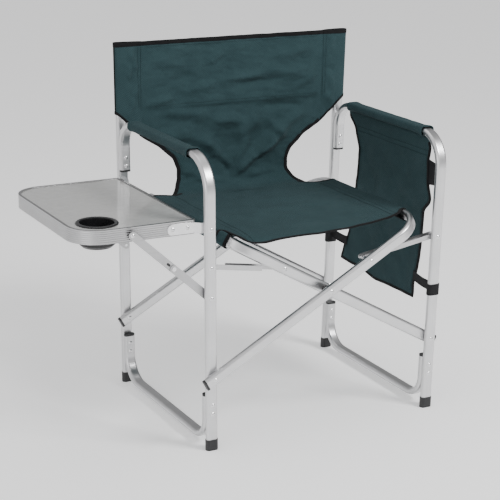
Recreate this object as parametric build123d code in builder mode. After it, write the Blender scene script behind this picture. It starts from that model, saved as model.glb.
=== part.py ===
from build123d import *
from math import atan2, cos, degrees, hypot, radians, sin
import os

# A folding director's chair: two leaning side frames joined by two crossed U-tubes,
# with a fabric seat and back, a fold-down side table and a hanging pouch.
# Millimetres. X runs across the chair (table on -X), Y from front to rear, Z up.

# ---- driving dimensions -------------------------------------------------------------
# flat-oval tube used for every frame member
tube_width, tube_depth, tube_corner, tube_wall = 25.0, 14.0, 6.0, 1.5
layer = 15.0              # distance in Y between tubes that lie side by side

foot_half = 271.3         # chair mid-plane to the centre of a leg, at the floor
lean = 0.0173             # outward lean of the side frames, per unit of height
frame_depth = 440.0       # front leg centre to rear post centre
arm_height = 626.0        # centre of the arm tube
arm_front_bend, arm_rear_bend = 70.0, 55.0
arm_end_height = 515.0
post_height = 792.0
back_top, back_fold_height = 800.0, 631.0   # top and foot of the backrest's pole sleeves
arm_sleeve_span = (74.0, 368.0)

pivot_height = 163.4      # lower scissor pivots on the legs
cross_height = 317.4      # where the two crossed frames are pinned together
rail_distance = 573.7     # along a crossed frame, from its lower pivot to the seat rail
cross_bend = 60.0
cross_tail = 19.0         # crossed tube beyond its lower pivot
fold_angle = 74.0         # slope of the crossed frames when the chair is folded

link_leg_height = 400.9   # link pivots on the legs
brace_bottom = 17.0       # centre of the ground brace above the floor
brace_top = 118.0
brace_bend_front, brace_bend_rear = 50.0, 60.0
brace_rivet_heights = (81.5, 101.3)
arm_rivet_heights = (524.0, 543.0)

table_inner, table_outer = 300.0, 557.0     # distances from the chair mid-plane
table_front, table_rear = 20.0, 412.0       # distances behind the front leg centre
table_top = 501.0
rim_height, rim_wall, rim_lip, rim_ledge = 29.0, 3.0, 6.0, 14.0
table_corner = 65.0
panel_drop, panel_thickness = 2.0, 6.0
hinge_height = 482.5
hinge_rivets, hinge_rivet_height = (321.0, 354.0), 486.0
plate_end, plate_joggle, plate_leg_end = 365.0, (307.0, 295.0), 269.0
plate_width, plate_thickness = 22.0, 2.0
cup_x, cup_y = 490.0, 84.0
cup_radius, cup_wall, cup_depth, cup_flange = 35.0, 2.0, 47.0, 43.5

strut_leg_height = 336.0
strut_table_x, strut_table_z = 443.0, 485.0
strut_upper, strut_width, strut_thickness = 119.5, 17.0, 1.5

rivet_radius, hole_clearance, rivet_head = 3.0, 0.08, 4.6
rivet_rise, low_rise = 2.0, 1.3   # height of a rivet's dome, and of one in a tight place
stud_head = 1.5
spacer_radius, thin_spacer_radius = 7.0, 5.5
plug_flange, plug_depth, plug_fit = 4.5, 5.5, 0.05
foot_cap_height, foot_cap_floor, foot_cap_skin = 24.0, 3.0, 1.2
fabric = 1.6              # thickness of a doubled fabric sleeve
gap = 0.25                # air between fabric and tube

panel_cloth = 3.0         # space taken by a padded or folded fabric panel
right_rail_span, left_rail_span = (48.0, 355.0), (78.0, 385.0)
seat_front, seat_rear, seat_height = 0.0, 400.0, 446.0
corner_x = 24.0                      # front corners cut away round the bends of the rails
corner_lengths = {-1: 86.0, 1: 50.0}
neck_top, neck_bottom, neck_half, skirt_half = 500.0, 452.0, 152.0, 160.0

pouch_x, pouch_bulge = 283.0, 20.0
pouch_outline = (
    (76, 616.5), (366, 616.5), (336, 540), (344, 440), (396, 250),
    (340, 243), (225, 233), (85, 235), (57, 447), (34, 472), (48, 515),
)
# lower edge, upper edge, front edge and rear edge of each outside pocket
pocket_spans = ((252.0, 400.0, 92.0, 330.0), (425.0, 560.0, 66.0, 318.0))
pocket_corner, pocket_taper = 14.0, 12
strap_height, strap_width = 281.0, 22.0
band_heights, band_length = (267.0, 283.0), 24.0
front_strap_middle, front_strap_length = 42.5, 61.0

# ---- values worked out from them ----------------------------------------------------
pouch_reach = pouch_x + panel_cloth / 2 + pouch_bulge
mid_x = (table_outer - pouch_reach) / 2     # the origin is the middle of the footprint
front_y = -frame_depth / 2
rear_y = front_y + frame_depth
hole_radius = rivet_radius + hole_clearance
half_depth = tube_depth / 2


def leg_x(side, z):
    """X of a leg's centre line; side is -1 on the table side and +1 on the other."""
    return mid_x + side * (foot_half + lean * z)


pivot_reach = foot_half + lean * pivot_height
rest_angle = degrees(atan2(cross_height - pivot_height, pivot_reach))
cross_distance = hypot(pivot_reach, cross_height - pivot_height)
rest_cos, rest_sin = cos(radians(rest_angle)), sin(radians(rest_angle))
fold_cos, fold_sin = cos(radians(fold_angle)), sin(radians(fold_angle))
rail_x = rail_distance * rest_cos - pivot_reach
rail_z = pivot_height + rail_distance * rest_sin

# Distance from the crossing to a link pivot, so that each link keeps its length
# both with the chair open and with it folded.
link_rise = link_leg_height - pivot_height
sine_change, cosine_change = fold_sin - rest_sin, rest_cos - fold_cos
link_distance = (
    cross_distance * link_rise * (sine_change + lean * cosine_change)
    / (
        2 * cross_distance * (fold_sin**2 - rest_sin**2)
        + link_rise * (lean * cosine_change - sine_change)
    )
)
link_bar_x = link_distance * rest_cos
link_bar_z = cross_height + link_distance * rest_sin
link_width, link_height, link_wall = 17.0, 11.0, 1.5
link_back = half_depth + 0.5                # the channel starts this far behind a leg
link_leg_tab, link_bar_tab = 46.0, 56.0     # ends where only one flange is left

strut_span = hypot(
    strut_table_x - foot_half - lean * strut_leg_height,
    strut_table_z - strut_leg_height,
)
strut_lower = strut_span - strut_upper
strut_lower_offset = half_depth + 3.7       # strips behind the leg face
strut_upper_offset = strut_lower_offset + strut_thickness + 0.5

os.makedirs("parts", exist_ok=True)


def save(part, name):
    part.label = name
    export_step(part, f"parts/{name}.step")


# ---- shapes that repeat -------------------------------------------------------------
def side_plane(side):
    """Plane of a leaning side frame: its x runs to the rear and its y up the leg."""
    return Plane(
        origin=(leg_x(side, 0), front_y, 0), x_dir=(0, 1, 0), z_dir=(1, 0, -side * lean)
    )


def cross_plane(direction):
    """Plane of a crossed frame: its x runs up the bar and its y to the rear."""
    return Plane(
        origin=(mid_x - direction * pivot_reach, front_y, pivot_height),
        x_dir=(direction * rest_cos, 0, rest_sin),
        z_dir=(-rest_sin, 0, direction * rest_cos),
    )


def bent_tube(plane, corners, radii, holes):
    """Hollow flat-oval tube bent in one plane, drilled along Y for its rivets."""
    with BuildPart() as tube:
        with BuildLine(plane) as path:
            if radii:
                FilletPolyline(*corners, radius=radii)
            else:
                Line(*corners)
        with BuildSketch(Plane(path.line @ 0, x_dir=plane.z_dir, z_dir=path.line % 0)):
            RectangleRounded(tube_width, tube_depth, tube_corner)
            RectangleRounded(
                tube_width - 2 * tube_wall,
                tube_depth - 2 * tube_wall,
                tube_corner - tube_wall,
                mode=Mode.SUBTRACT,
            )
        sweep()
        with Locations(*holes):
            Cylinder(hole_radius, tube_depth + 2, rotation=(90, 0, 0), mode=Mode.SUBTRACT)
    return tube.part


def rivet(x, z, head_y, tail_y, tail_rise=rivet_rise):
    """Domed rivet along Y, from its head's seat to its tail's seat."""
    outward = 1 if head_y > tail_y else -1
    domes = [(head_y, outward, rivet_rise)]
    if tail_rise:
        domes.append((tail_y, -outward, tail_rise))
    with BuildPart() as pin:
        with BuildSketch(Plane(origin=(x, tail_y, z), z_dir=(0, outward, 0))):
            Circle(rivet_radius)
        extrude(amount=abs(head_y - tail_y))
        for seat_y, direction, rise in domes:
            dome_radius = (rivet_head**2 + rise**2) / (2 * rise)
            with BuildSketch(Plane(origin=(x, seat_y, z), x_dir=(1, 0, 0), z_dir=(0, 0, direction))):
                with BuildLine():
                    Polyline((0, rise), (0, 0), (rivet_head, 0))
                    RadiusArc((rivet_head, 0), (0, rise), -dome_radius)
                make_face()
            revolve(axis=Axis((x, 0, z), (0, 1, 0)))
    return pin.part


def ring_spacer(x, z, start_y, end_y, outer=spacer_radius):
    """Washer or spacer round a rivet, between two faces across Y."""
    with BuildPart() as spacer:
        with BuildSketch(Plane(origin=(x, start_y, z), z_dir=(0, 1, 0))):
            Circle(outer)
            Circle(hole_radius, mode=Mode.SUBTRACT)
        extrude(amount=end_y - start_y)
    return spacer.part


def tube_plug(end_plane):
    """Moulded plug closing a tube end; the plane's z points out of the tube."""
    with BuildPart() as plug:
        with BuildSketch(end_plane):
            RectangleRounded(tube_width, tube_depth, tube_corner)
        extrude(amount=plug_flange)
        with BuildSketch(end_plane):
            RectangleRounded(
                tube_width - 2 * (tube_wall + plug_fit),
                tube_depth - 2 * (tube_wall + plug_fit),
                tube_corner - tube_wall - plug_fit,
            )
        extrude(amount=-plug_depth)
    return plug.part


def sleeve(plane, length):
    """Straight fabric tube round a frame tube, from the plane along its z."""
    with BuildPart() as wrap:
        with BuildSketch(plane):
            grow = 2 * (gap + fabric)
            RectangleRounded(
                tube_width + grow, tube_depth + grow, tube_corner + grow / 2
            )
            RectangleRounded(
                tube_width + 2 * gap, tube_depth + 2 * gap, tube_corner + gap, mode=Mode.SUBTRACT
            )
        extrude(amount=length)
    return wrap.part


# ---- side frames --------------------------------------------------------------------
def build_side_frame(side):
    """Everything riveted into one leaning side frame."""
    name = "left" if side < 0 else "right"
    plane = side_plane(side)
    scissor_heights = [pivot_height, link_leg_height]
    table_heights = [hinge_height, strut_leg_height] if side < 0 else []
    leg_heights = [*scissor_heights, *table_heights, *brace_rivet_heights]

    # front leg and arm are one tube; its rear end hangs in front of the rear post
    arm_end_y = frame_depth - layer
    holes = [(leg_x(side, z), front_y, z) for z in leg_heights]
    holes += [(leg_x(side, z), front_y + arm_end_y, z) for z in arm_rivet_heights]
    leg = bent_tube(
        plane,
        [(0, foot_cap_floor), (0, arm_height), (arm_end_y, arm_height), (arm_end_y, arm_end_height)],
        [arm_front_bend, arm_rear_bend],
        holes,
    )
    save(leg, f"{name}_leg_and_arm_tube")

    post_heights = [*leg_heights, *arm_rivet_heights]
    holes = [(leg_x(side, z), rear_y, z) for z in post_heights]
    post = bent_tube(
        plane, [(frame_depth, foot_cap_floor), (frame_depth, post_height)], [], holes
    )
    save(post, f"{name}_rear_post")

    # U-shaped ground brace, behind the front leg and in front of the rear post
    brace_ends = (layer, frame_depth - layer)
    holes = [
        (leg_x(side, z), front_y + y, z) for y in brace_ends for z in brace_rivet_heights
    ]
    brace = bent_tube(
        plane,
        [
            (brace_ends[0], brace_top),
            (brace_ends[0], brace_bottom),
            (brace_ends[1], brace_bottom),
            (brace_ends[1], brace_top),
        ],
        [brace_bend_front, brace_bend_rear],
        holes,
    )
    save(brace, f"{name}_ground_brace")

    # black caps under the two legs, cut flat where they stand on the floor
    with BuildPart() as foot_caps:
        for y in (0, frame_depth):
            cap_plane = Plane(
                origin=plane.from_local_coords(Vector(y, -1, 0)),
                x_dir=(1, 0, -side * lean),
                z_dir=(side * lean, 0, 1),
            )
            with BuildSketch(cap_plane):
                RectangleRounded(
                    tube_width + 2 * foot_cap_skin,
                    tube_depth + 2 * foot_cap_skin,
                    tube_corner + foot_cap_skin,
                )
            extrude(amount=foot_cap_height + 1)
            with BuildSketch(cap_plane.offset(foot_cap_floor + 1)):
                RectangleRounded(tube_width, tube_depth, tube_corner)
            extrude(amount=foot_cap_height, mode=Mode.SUBTRACT)
        split(bisect_by=Plane.XY, keep=Keep.TOP)
    save(foot_caps.part, f"{name}_foot_caps")

    def end_plane(y, height, up):
        return Plane(
            origin=plane.from_local_coords(Vector(y, height, 0)),
            x_dir=(1, 0, -side * lean),
            z_dir=(side * lean * up, 0, up),
        )

    with BuildPart() as plugs:
        for y in brace_ends:
            add(tube_plug(end_plane(y, brace_top, 1)))
        add(tube_plug(end_plane(arm_end_y, arm_end_height, -1)))
        add(tube_plug(end_plane(frame_depth, post_height, 1)))
    save(plugs.part, f"{name}_tube_plugs")

    with BuildPart() as rivets:
        for z in brace_rivet_heights:
            x = leg_x(side, z)
            add(rivet(x, z, front_y - half_depth, front_y + layer + half_depth))
            add(rivet(x, z, rear_y - layer - half_depth, rear_y + half_depth))
        for z in arm_rivet_heights:
            x = leg_x(side, z)
            add(rivet(x, z, rear_y - layer - half_depth, rear_y + half_depth))
    save(rivets.part, f"{name}_frame_rivets")

    # fabric sleeves: round the arm, and round the post for the backrest
    sleeve_start, sleeve_end = arm_sleeve_span
    arm_plane = Plane(
        origin=plane.from_local_coords(Vector(sleeve_start, arm_height, 0)),
        x_dir=(1, 0, -side * lean),
        z_dir=(0, 1, 0),
    )
    save(sleeve(arm_plane, sleeve_end - sleeve_start), f"{name}_arm_sleeve")
    back_plane = end_plane(frame_depth, back_fold_height, 1)
    save(sleeve(back_plane, back_top - back_fold_height), f"back_sleeve_{name}")


for frame_side in (-1, 1):
    build_side_frame(frame_side)


# ---- crossed frames -----------------------------------------------------------------
# Frame A runs from the table side's legs up to the other side's seat rail, in front
# of the legs; frame B runs the other way, behind them.
def build_cross_frame(name, direction, offset):
    plane = cross_plane(direction)
    bar_ys = (offset, frame_depth + offset)
    corners = [
        (-cross_tail, bar_ys[0]),
        (rail_distance, bar_ys[0]),
        (rail_distance, bar_ys[1]),
        (-cross_tail, bar_ys[1]),
    ]
    pin_points = [
        (mid_x - direction * pivot_reach, pivot_height),
        (mid_x, cross_height),
        (mid_x + direction * link_bar_x, link_bar_z),
    ]
    holes = [(x, front_y + y, z) for x, z in pin_points for y in bar_ys]
    save(bent_tube(plane, corners, [cross_bend, cross_bend], holes), f"{name}_tube")
    with BuildPart() as plugs:
        for y in bar_ys:
            end = Plane(
                origin=plane.from_local_coords(Vector(-cross_tail, y, 0)),
                x_dir=plane.z_dir,
                z_dir=-plane.x_dir,
            )
            add(tube_plug(end))
    save(plugs.part, f"{name}_plugs")


build_cross_frame("cross_frame_a", 1, -layer)
build_cross_frame("cross_frame_b", -1, layer)

bar_face = layer + half_depth     # outer face of a crossed tube, from a leg's centre


def scissor_pins(side, offset):
    """Lower scissor pivots of one side, with the washers between tube and leg."""
    x = leg_x(side, pivot_height)
    with BuildPart() as pins:
        for centre in (front_y, rear_y):
            add(rivet(x, pivot_height, centre - offset * bar_face, centre + offset * half_depth))
    with BuildPart() as washers:
        for centre in (front_y, rear_y):
            near, far = sorted((centre - offset * half_depth, centre - offset * (layer - half_depth)))
            add(ring_spacer(x, pivot_height, near, far))
    return pins.part, washers.part


for frame_side, frame_name in ((-1, "left"), (1, "right")):
    pins, washers = scissor_pins(frame_side, -frame_side)
    save(pins, f"{frame_name}_scissor_pins")
    save(washers, f"{frame_name}_scissor_washers")

with BuildPart() as cross_pins:
    for centre in (front_y, rear_y):
        add(rivet(mid_x, cross_height, centre - bar_face, centre + bar_face))
save(cross_pins.part, "cross_pins")

with BuildPart() as cross_spacers:
    for centre in (front_y, rear_y):
        add(
            ring_spacer(
                mid_x, cross_height, centre - layer + half_depth, centre + layer - half_depth
            )
        )
save(cross_spacers.part, "cross_spacers")


# ---- links between the legs and the crossed frames ----------------------------------
def build_link(name, side, leg_centre, inward, leg_tab, bar_tab, leg_flange, bar_flange):
    """U-channel link on the inner side of a leg; inward is +1 at the front, -1 behind.

    A tab end keeps one flange only: flange 0 is next to the leg, flange 1 is away.
    """
    leg_point = Vector(leg_x(side, link_leg_height), 0, link_leg_height)
    bar_point = Vector(mid_x + side * link_bar_x, 0, link_bar_z)
    run = bar_point - leg_point
    length = run.length
    along = run.normalized()
    start_y = leg_centre + inward * link_back
    strip = Plane(origin=(leg_point.X, start_y, leg_point.Z), x_dir=along, z_dir=(0, inward, 0))
    up = 1 if strip.y_dir.Z > 0 else -1
    end_radius = link_height / 2
    with BuildPart() as link:
        for flange in (0, 1):
            first = -end_radius if leg_flange in (flange, None) else leg_tab
            last = length + end_radius if bar_flange in (flange, None) else length - bar_tab
            with BuildSketch(strip.offset(flange * (link_width - link_wall))):
                with Locations(((first + last) / 2, 0)):
                    Rectangle(last - first, link_height)
            extrude(amount=link_wall)
        first = leg_tab if leg_flange is not None else 0
        last = length - bar_tab if bar_flange is not None else length
        with BuildSketch(strip):
            with Locations(((first + last) / 2, -up * (link_height - link_wall) / 2)):
                Rectangle(last - first, link_wall)
        extrude(amount=link_width)
        round_ends = [
            e
            for e in link.edges().filter_by(Axis.Y)
            if strip.to_local_coords(e.center()).X < -end_radius + 0.1
            or strip.to_local_coords(e.center()).X > length + end_radius - 0.1
        ]
        fillet(round_ends, end_radius - 0.05)
        with Locations((leg_point.X, start_y, leg_point.Z)):
            Cylinder(hole_radius, 4 * link_width, rotation=(90, 0, 0), mode=Mode.SUBTRACT)
    save(link.part, name)


build_link("link_front_left", -1, front_y, 1, link_leg_tab, link_bar_tab, 0, 1)
build_link("link_front_right", 1, front_y, 1, 0, 0, None, None)
build_link("link_rear_left", -1, rear_y, -1, link_leg_tab, 0, 0, None)
build_link("link_rear_right", 1, rear_y, -1, 0, link_bar_tab, None, 1)

link_far = link_back + link_width
for frame_side, frame_name in ((-1, "left"), (1, "right")):
    x = leg_x(frame_side, link_leg_height)
    tail = link_back + link_wall if frame_side < 0 else link_far
    with BuildPart() as link_pins:
        for centre, inward in ((front_y, 1), (rear_y, -1)):
            add(
                rivet(
                    x, link_leg_height, centre - inward * half_depth, centre + inward * tail,
                    low_rise,
                )
            )
    save(link_pins.part, f"{frame_name}_link_pins")


def bar_rivet(side, head_y, end_y):
    """Rivet through a crossed tube at a link, flush on the link's side."""
    return rivet(mid_x + side * link_bar_x, link_bar_z, head_y, end_y, tail_rise=0)


with BuildPart() as link_rivets_a:
    add(bar_rivet(1, front_y - bar_face, front_y - layer + half_depth))
    add(bar_rivet(1, rear_y - layer + half_depth, rear_y - bar_face))
save(link_rivets_a.part, "cross_frame_a_link_rivets")

with BuildPart() as link_rivets_b:
    add(bar_rivet(-1, front_y + layer - half_depth, front_y + bar_face))
    add(bar_rivet(-1, rear_y + bar_face, rear_y + layer - half_depth))
save(link_rivets_b.part, "cross_frame_b_link_rivets")


def link_stud(side, near_y, bar_gap_y):
    """Stud at a link's bar end, with the spacer that reaches towards the bar."""
    x = mid_x + side * link_bar_x
    toward = 1 if bar_gap_y > near_y else -1
    with BuildPart() as stud:
        with BuildSketch(Plane(origin=(x, bar_gap_y, link_bar_z), z_dir=(0, -toward, 0))):
            Circle(rivet_head)
        extrude(amount=abs(bar_gap_y - near_y))
    return stud.part


with BuildPart() as left_link_studs:
    x = mid_x - link_bar_x
    add(link_stud(-1, rear_y - link_back, rear_y + layer - half_depth - 0.5))
    with Locations(
        (x, front_y + link_far + stud_head / 2, link_bar_z),
        (x, rear_y - link_far - stud_head / 2, link_bar_z),
    ):
        Cylinder(rivet_head, stud_head, rotation=(90, 0, 0))
save(left_link_studs.part, "left_link_studs")

with BuildPart() as right_link_studs:
    x = mid_x + link_bar_x
    add(link_stud(1, front_y + link_back, front_y - layer + half_depth + 0.5))
    with Locations(
        (x, front_y + link_far + stud_head / 2, link_bar_z),
        (x, rear_y - link_far - stud_head / 2, link_bar_z),
    ):
        Cylinder(rivet_head, stud_head, rotation=(90, 0, 0))
save(right_link_studs.part, "right_link_studs")


# ---- seat ---------------------------------------------------------------------------
def rail_sleeve(direction, start, end):
    plane = cross_plane(direction)
    start_plane = Plane(
        origin=plane.from_local_coords(Vector(rail_distance, start, 0)),
        x_dir=plane.z_dir,
        z_dir=(0, 1, 0),
    )
    return sleeve(start_plane, end - start)


save(rail_sleeve(1, *right_rail_span), "seat_sleeve_right")
save(rail_sleeve(-1, *left_rail_span), "seat_sleeve_left")

seat_width = rail_x - 22.0
for frame_side, frame_name in ((-1, "left"), (1, "right")):
    edge_x = mid_x + frame_side * seat_width
    outline = [
        (mid_x, front_y + seat_front),
        (mid_x, front_y + seat_rear),
        (edge_x, front_y + seat_rear),
        (edge_x, front_y + seat_front + corner_lengths[frame_side]),
        (edge_x - frame_side * corner_x, front_y + seat_front),
    ]
    with BuildPart() as seat_half:
        with BuildSketch(Plane.XY.offset(seat_height)):
            with BuildLine():
                Polyline(*outline, close=True)
            make_face()
        extrude(amount=panel_cloth)
    save(seat_half.part, f"seat_panel_{frame_name}")

# ---- back panel ---------------------------------------------------------------------
back_edge = tube_width / 2 + gap + fabric + 0.2
with BuildPart() as back_panel:
    with BuildSketch(Plane(origin=(0, rear_y - panel_cloth / 2, 0), x_dir=(1, 0, 0), z_dir=(0, -1, 0))):
        with BuildLine():
            right_top = (leg_x(1, back_top) - back_edge, back_top)
            right_low = (leg_x(1, back_fold_height) - back_edge, back_fold_height)
            left_top = (leg_x(-1, back_top) + back_edge, back_top)
            left_low = (leg_x(-1, back_fold_height) + back_edge, back_fold_height)
            Polyline(
                left_low,
                left_top,
                right_top,
                right_low,
                (mid_x + neck_half, neck_top),
                (mid_x + skirt_half, neck_bottom),
                (mid_x - skirt_half, neck_bottom),
                (mid_x - neck_half, neck_top),
                close=True,
            )
        make_face()
    extrude(amount=-panel_cloth)
save(back_panel.part, "back_panel")


# ---- side table ---------------------------------------------------------------------
table_mid_x = mid_x - (table_outer + table_inner) / 2
table_mid_y = front_y + (table_front + table_rear) / 2
table_width, table_length = table_outer - table_inner, table_rear - table_front


def table_face(inset, height):
    """Table outline drawn in by an inset: two large outer corners, two small inner."""
    half_x, half_y = table_width / 2 - inset, table_length / 2 - inset
    outer, inner = table_corner - inset, max(8.0 - inset, 1.0)
    with BuildSketch(Plane((table_mid_x, table_mid_y, height))) as face:
        Rectangle(2 * half_x, 2 * half_y)
        fillet(face.vertices().group_by(Axis.X)[0], outer)
        fillet(face.vertices().group_by(Axis.X)[-1], inner)
    return face.sketch


panel_z = table_top - panel_drop - panel_thickness
with BuildPart() as table_rim:
    add(table_face(0, table_top - rim_height))
    extrude(amount=rim_height)
    add(table_face(rim_wall, table_top - rim_height))
    extrude(amount=rim_height - panel_drop - panel_thickness - 2, mode=Mode.SUBTRACT)
    add(table_face(rim_ledge, panel_z - 2))
    extrude(amount=2, mode=Mode.SUBTRACT)
    add(table_face(rim_lip, panel_z))
    extrude(amount=panel_thickness + panel_drop, mode=Mode.SUBTRACT)
    with Locations(
        *[
            (mid_x - x, front_y + y, z)
            for y in (table_front, table_rear)
            for x, z in (
                (strut_table_x, strut_table_z),
                *((rivet_x, hinge_rivet_height) for rivet_x in hinge_rivets),
            )
        ]
    ):
        Cylinder(hole_radius, 4 * rim_wall, rotation=(90, 0, 0), mode=Mode.SUBTRACT)
save(table_rim.part, "table_rim")

cup_point = (mid_x - cup_x, front_y + cup_y)
panel_top = table_top - panel_drop
with BuildPart() as table_panel:
    add(table_face(rim_lip + 0.1, panel_z))
    extrude(amount=panel_thickness)
    with Locations((*cup_point, panel_z)):
        Cylinder(cup_radius + cup_wall + 0.1, 4 * panel_thickness, mode=Mode.SUBTRACT)
save(table_panel.part, "table_panel")

with BuildPart() as cup_holder:
    with BuildSketch(Plane(origin=(*cup_point, 0), x_dir=(1, 0, 0), z_dir=(0, -1, 0))):
        with BuildLine():
            bottom = panel_top - cup_depth
            Polyline(
                (0, bottom),
                (cup_radius - 4, bottom),
                (cup_radius + cup_wall, bottom + 6),
                (cup_radius + cup_wall, panel_top),
                (cup_flange, panel_top),
                (cup_flange, panel_top + 1.5),
                (cup_flange - 2, panel_top + 3),
                (cup_radius + 1.5, panel_top + 3),
                (cup_radius, panel_top + 1.5),
                (cup_radius, bottom + 6.5),
                (cup_radius - 4.5, bottom + cup_wall),
                (0, bottom + cup_wall),
                close=True,
            )
        make_face()
    revolve(axis=Axis((*cup_point, 0), (0, 0, 1)))
save(cup_holder.part, "cup_holder")


def hinge_plate(centre, inward, table_face_y):
    """Joggled plate from the table rim to the inner face of a leg."""
    rim_offset = inward * (table_face_y - centre) - plate_thickness / 2
    leg_offset = half_depth + 1.5
    with BuildPart() as plate:
        with BuildSketch(Plane.XY.offset(hinge_rivet_height + 10 - plate_width)):
            with BuildLine():
                Polyline(
                    (mid_x - plate_end, centre + inward * rim_offset),
                    (mid_x - plate_joggle[0], centre + inward * rim_offset),
                    (mid_x - plate_joggle[1], centre + inward * leg_offset),
                    (mid_x - plate_leg_end, centre + inward * leg_offset),
                )
            trace(line_width=plate_thickness)
        extrude(amount=plate_width)
        ends = plate.edges().filter_by(Axis.Y).group_by(Axis.X)
        fillet(ends[0] + ends[-1], plate_width / 2 - 0.5)
        with Locations(
            (leg_x(-1, hinge_height), centre, hinge_height),
            *[(mid_x - x, centre, hinge_rivet_height) for x in hinge_rivets],
        ):
            Cylinder(hole_radius, 4 * table_front, rotation=(90, 0, 0), mode=Mode.SUBTRACT)
    return plate.part


with BuildPart() as hinge_plates:
    add(hinge_plate(front_y, 1, front_y + table_front))
    add(hinge_plate(rear_y, -1, front_y + table_rear))
save(hinge_plates.part, "table_hinge_plates")

with BuildPart() as table_rivets:
    for face_y, inward in ((front_y + table_front, 1), (front_y + table_rear, -1)):
        for x in hinge_rivets:
            head_y, tail_y = face_y - inward * plate_thickness, face_y + inward * rim_wall
            add(rivet(mid_x - x, hinge_rivet_height, head_y, tail_y, low_rise))
save(table_rivets.part, "table_rivets")

with BuildPart() as hinge_pins:
    for centre, inward in ((front_y, 1), (rear_y, -1)):
        add(
            rivet(
                leg_x(-1, hinge_height), hinge_height,
                centre - inward * half_depth, centre + inward * (half_depth + 2.5), low_rise,
            )
        )
save(hinge_pins.part, "table_hinge_pins")

# ---- table struts -------------------------------------------------------------------
strut_start = Vector(mid_x - strut_table_x, 0, strut_table_z)
strut_end = Vector(leg_x(-1, strut_leg_height), 0, strut_leg_height)
strut_direction = (strut_end - strut_start).normalized()
knee = strut_start + strut_direction * strut_upper


def strut_strip(start, end, near_y, inward):
    """Flat round-ended strip with a hole at its first end."""
    middle = (start + end) / 2
    plane = Plane(
        origin=(middle.X, near_y, middle.Z), x_dir=strut_direction, z_dir=(0, inward, 0)
    )
    with BuildPart() as strip:
        with BuildSketch(plane):
            SlotCenterToCenter((end - start).length, strut_width)
        extrude(amount=strut_thickness)
        with Locations((start.X, near_y, start.Z), (end.X, near_y, end.Z)):
            Cylinder(hole_radius, 10, rotation=(90, 0, 0), mode=Mode.SUBTRACT)
    return strip.part


for place, centre, inward in (("front", front_y, 1), ("rear", rear_y, -1)):
    lower_y = centre + inward * strut_lower_offset
    upper_y = centre + inward * strut_upper_offset
    save(strut_strip(strut_end, knee, lower_y, inward), f"strut_lower_{place}")
    save(strut_strip(strut_start, knee, upper_y, inward), f"strut_upper_{place}")

with BuildPart() as strut_leg_pins:
    for centre, inward in ((front_y, 1), (rear_y, -1)):
        far = strut_lower_offset + strut_thickness
        add(
            rivet(
                strut_end.X, strut_end.Z,
                centre - inward * half_depth, centre + inward * far, tail_rise=0,
            )
        )
save(strut_leg_pins.part, "strut_leg_pins")

with BuildPart() as strut_leg_spacers:
    for centre, inward in ((front_y, 1), (rear_y, -1)):
        near, far = sorted(
            (centre + inward * half_depth, centre + inward * (strut_lower_offset - 0.1))
        )
        add(ring_spacer(strut_end.X, strut_end.Z, near, far, thin_spacer_radius))
save(strut_leg_spacers.part, "strut_leg_spacers")

with BuildPart() as knee_rivets:
    for centre, inward in ((front_y, 1), (rear_y, -1)):
        head = centre + inward * strut_lower_offset
        end = centre + inward * (strut_lower_offset + strut_thickness)
        with BuildSketch(Plane(origin=(knee.X, head, knee.Z), z_dir=(0, -inward, 0))):
            Circle(rivet_head)
        extrude(amount=1.2)
        with BuildSketch(Plane(origin=(knee.X, head, knee.Z), z_dir=(0, inward, 0))):
            Circle(rivet_radius)
        extrude(amount=abs(end - head))
save(knee_rivets.part, "knee_rivets")

with BuildPart() as strut_table_pins:
    for centre, inward, face_y in (
        (front_y, 1, front_y + table_front),
        (rear_y, -1, front_y + table_rear),
    ):
        add(
            rivet(
                strut_start.X, strut_start.Z,
                centre + inward * strut_upper_offset, face_y + inward * rim_wall, low_rise,
            )
        )
save(strut_table_pins.part, "strut_table_pins")

with BuildPart() as strut_table_spacers:
    for centre, inward, face_y in (
        (front_y, 1, front_y + table_front),
        (rear_y, -1, front_y + table_rear),
    ):
        near, far = sorted(
            (centre + inward * (strut_upper_offset + strut_thickness + 0.1), face_y)
        )
        add(ring_spacer(strut_start.X, strut_start.Z, near, far, thin_spacer_radius))
save(strut_table_spacers.part, "strut_table_spacers")


# ---- pouch hanging from the right arm -----------------------------------------------
pouch_plane = Plane(
    origin=(mid_x + pouch_x - panel_cloth / 2, front_y, 0), x_dir=(0, 1, 0), z_dir=(1, 0, 0)
)
with BuildPart() as pouch_panel:
    with BuildSketch(pouch_plane):
        with BuildLine():
            Polyline(*pouch_outline, close=True)
        make_face()
    extrude(amount=panel_cloth)
save(pouch_panel.part, "pouch_panel")

with BuildPart() as pouch_pockets:
    for lower, upper, front, back in pocket_spans:
        with BuildSketch(pouch_plane.offset(panel_cloth)):
            with Locations(((front + back) / 2, (lower + upper) / 2)):
                RectangleRounded(back - front, upper - lower, pocket_corner)
        extrude(amount=pouch_bulge, taper=pocket_taper)
        # the space inside is open at the top
        with BuildSketch(pouch_plane.offset(panel_cloth)):
            with Locations(((front + back) / 2, (lower + upper) / 2 + 2 * fabric)):
                Rectangle(back - front - 2 * fabric, upper - lower)
        extrude(amount=pouch_bulge - fabric, taper=pocket_taper, mode=Mode.SUBTRACT)
save(pouch_pockets.part, "pouch_pockets")


def strap_band(height, centre_y):
    plane = side_plane(1)
    base = Plane(
        origin=plane.from_local_coords(Vector(centre_y, height, 0)),
        x_dir=(1, 0, -lean),
        z_dir=(lean, 0, 1),
    )
    return sleeve(base, band_length)


with BuildPart() as pouch_straps:
    add(strap_band(band_heights[0], 0))
    add(strap_band(band_heights[1], frame_depth))
    with BuildSketch(pouch_plane.offset(0.5)):
        with Locations((front_strap_middle, strap_height)):
            Rectangle(front_strap_length, strap_width)
    extrude(amount=2.0)
save(pouch_straps.part, "pouch_straps")
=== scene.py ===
import bpy
from math import atan2, cos, exp, hypot, pi, radians, sin
from mathutils import Matrix, Vector, noise


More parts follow.
